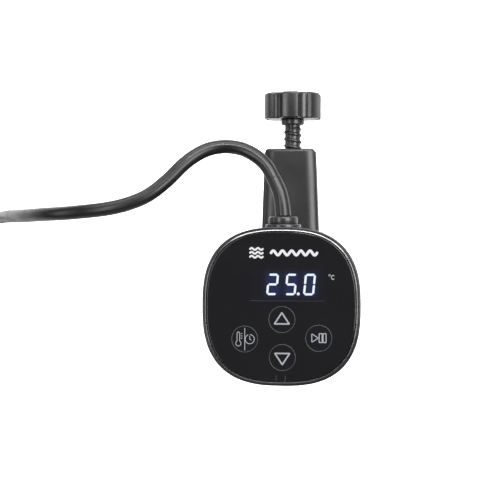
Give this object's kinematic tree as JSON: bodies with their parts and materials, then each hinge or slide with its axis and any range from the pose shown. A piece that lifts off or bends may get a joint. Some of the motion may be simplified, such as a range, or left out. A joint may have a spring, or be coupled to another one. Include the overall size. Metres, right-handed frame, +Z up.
{
  "type": "sous vide circulator",
  "caption": "Upright immersion circulator with a square-round touch panel on top, a steel tube with heater and impeller, and a screw clamp that grips a pot's wall.",
  "frame": {"origin": "centre of the base, on the surface it stands on", "axes": "+Z up to the control panel, +Y out along the clamp arm, -Y towards the reader"},
  "size_m": [0.453, 0.1829, 0.395],
  "materials": {
    "panel_glass": "polished black",
    "trim_metal": "satin",
    "housing": "fine satin",
    "clamp_plastic": "satin glass-filled",
    "screw_plastic": "satin",
    "knob_trim": "spun",
    "soft_rubber": "matt",
    "tube_steel": "brushed",
    "bare_steel": "bright",
    "motor_metal": "cast",
    "brass": "turned",
    "inner_plastic": "matt",
    "white_plastic": "matt",
    "board": "solder mask",
    "winding": "tape",
    "component_blue": "sleeve",
    "component_green": "matt",
    "spring_metal": "plated",
    "gland_plastic": "fine satin",
    "cord_rubber": "satin",
    "tie": "hook and loop",
    "pin_metal": "nickel plated"
  },
  "bodies": {
    "root": {"glass_panel": "panel_glass", "panel_gasket": "soft_rubber", "trim_ring": "trim_metal", "head_bezel": "housing", "head_shell": "housing", "control_board": "board", "display_module": "inner_plastic", "touch_springs": "spring_metal", "buzzer": "inner_plastic", "board_spacers": "brass", "power_board": "board", "transformer": "winding", "filter_capacitor": "component_blue", "relay": "component_blue", "heat_sink": "motor_metal", "terminal_block": "component_green", "board_screws": "bare_steel", "neck_housing": "housing", "motor_plate": "bare_steel", "motor_can": "motor_metal", "tube_plate": "inner_plastic", "tube_seal": "soft_rubber", "upper_bush": "brass", "shaft_seal": "soft_rubber", "steel_tube": "tube_steel", "heating_element": "bare_steel", "temperature_probe": "bare_steel", "level_rods": "bare_steel", "shaft_spider": "inner_plastic", "lower_bush": "white_plastic", "clamp_bracket": "clamp_plastic", "clamp_band": "clamp_plastic", "band_screws": "bare_steel", "jaw_strip": "soft_rubber", "thread_insert": "brass", "gland_flange": "gland_plastic", "cord_gland": "gland_plastic", "gland_nut": "gland_plastic", "strain_relief": "cord_rubber", "supply_cord": "cord_rubber", "cord_coil": "cord_rubber", "cord_tail": "cord_rubber", "coil_tie": "tie", "plug_body": "cord_rubber", "plug_pins": "pin_metal"},
    "rotor": {"motor_shaft": "bare_steel", "shaft_coupler": "motor_metal", "drive_shaft": "bare_steel", "impeller": "inner_plastic", "impeller_nut": "bare_steel"},
    "base": {"base_cap": "housing", "foot_ring": "soft_rubber"},
    "pad": {"pad_holder": "clamp_plastic", "pad_face": "soft_rubber"},
    "screw": {"clamp_screw": "screw_plastic", "screw_clip": "bare_steel", "clamp_knob": "screw_plastic", "knob_disc": "knob_trim"}
  },
  "joints": [
    {"name": "impeller_spin", "type": "hinge", "parent": "root", "child": "rotor", "pos_m": [0, 0, 0.03], "axis": [0, 0, 1], "continuous": true},
    {"name": "base_turn", "type": "hinge", "parent": "root", "child": "base", "pos_m": [0, 0, 0.03], "axis": [0, 0, 1], "range_deg": [-36, 0]},
    {"name": "pad_slide", "type": "slide", "parent": "root", "child": "pad", "axis": [0, -1, 0], "range_m": [0, 0.0145]},
    {"name": "screw_turn", "type": "hinge", "parent": "pad", "child": "screw", "pos_m": [0, 0.09, 0.321], "axis": [0, -1, 0], "range_deg": [0, 1305.1]}
  ],
  "couplings": [
    {"joint": "screw_turn", "follows": "pad_slide", "rad_per_m": 1570.8}
  ]
}
